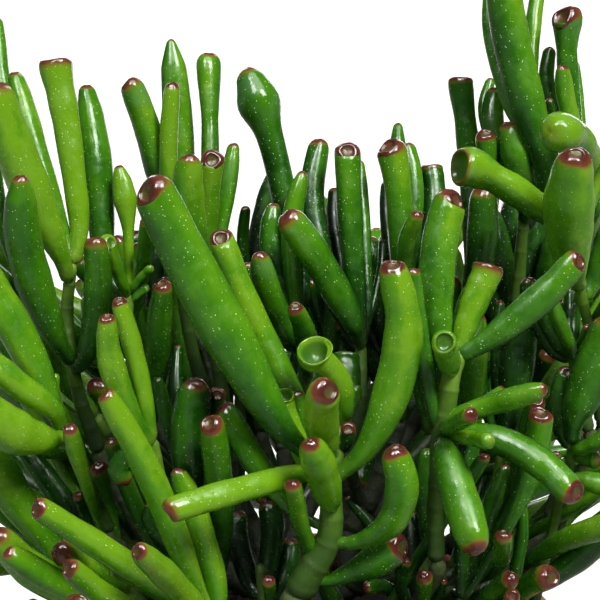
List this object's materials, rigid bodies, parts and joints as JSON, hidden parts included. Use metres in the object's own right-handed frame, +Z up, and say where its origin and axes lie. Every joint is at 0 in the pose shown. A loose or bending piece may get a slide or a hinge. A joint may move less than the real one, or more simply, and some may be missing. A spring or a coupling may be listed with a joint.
{
  "type": "potted jade plant",
  "caption": "Bushy trumpet jade succulent with tubular green leaves and maroon cupped tips on branching stems, growing in a plain round clay pot.",
  "frame": {"origin": "centre of the pot's underside, where it stands", "axes": "+Z up along the pot's axis; the front of the plant faces -Y"},
  "size_m": [0.179, 0.1588, 0.2297],
  "materials": {
    "clay_pot": "plain fired clay, matt and unglazed",
    "potting_soil": "dark crumbly potting soil, matt",
    "stem_bark": "olive succulent stem, matt, ringed with old leaf scars",
    "leaf_skin": "waxy succulent leaf, green with maroon tips"
  },
  "bodies": {
    "root": {"pot": "clay_pot", "soil": "potting_soil", "stems": "stem_bark", "centre_back": "leaf_skin", "centre_front": "leaf_skin", "centre_left_back": "leaf_skin", "centre_low": "leaf_skin", "centre_right_back": "leaf_skin", "deep_centre": "leaf_skin", "deep_far_right": "leaf_skin", "deep_left": "leaf_skin", "deep_left_centre": "leaf_skin", "deep_right": "leaf_skin", "inner_back": "leaf_skin", "left_centre": "leaf_skin", "left_front": "leaf_skin", "left_inner": "leaf_skin", "left_joint": "leaf_skin", "left_top": "leaf_skin", "low_front": "leaf_skin", "low_left": "leaf_skin", "low_left_front": "leaf_skin", "low_right": "leaf_skin", "low_right_front": "leaf_skin", "right_big": "leaf_skin", "right_centre": "leaf_skin", "right_inner": "leaf_skin", "right_inner_back": "leaf_skin", "right_low": "leaf_skin", "right_low_joint": "leaf_skin", "right_middle": "leaf_skin", "right_top": "leaf_skin", "top_left": "leaf_skin", "top_left_inner": "leaf_skin", "top_right": "leaf_skin", "outer_01": "leaf_skin", "outer_02": "leaf_skin", "outer_03": "leaf_skin", "outer_04": "leaf_skin", "outer_05": "leaf_skin", "outer_06": "leaf_skin", "outer_07": "leaf_skin", "outer_08": "leaf_skin", "outer_09": "leaf_skin", "outer_10": "leaf_skin", "outer_11": "leaf_skin", "outer_12": "leaf_skin", "outer_13": "leaf_skin", "outer_14": "leaf_skin", "outer_15": "leaf_skin", "outer_16": "leaf_skin", "outer_17": "leaf_skin", "outer_18": "leaf_skin", "outer_19": "leaf_skin", "outer_20": "leaf_skin", "outer_21": "leaf_skin", "outer_22": "leaf_skin", "outer_23": "leaf_skin"}
  },
  "joints": []
}
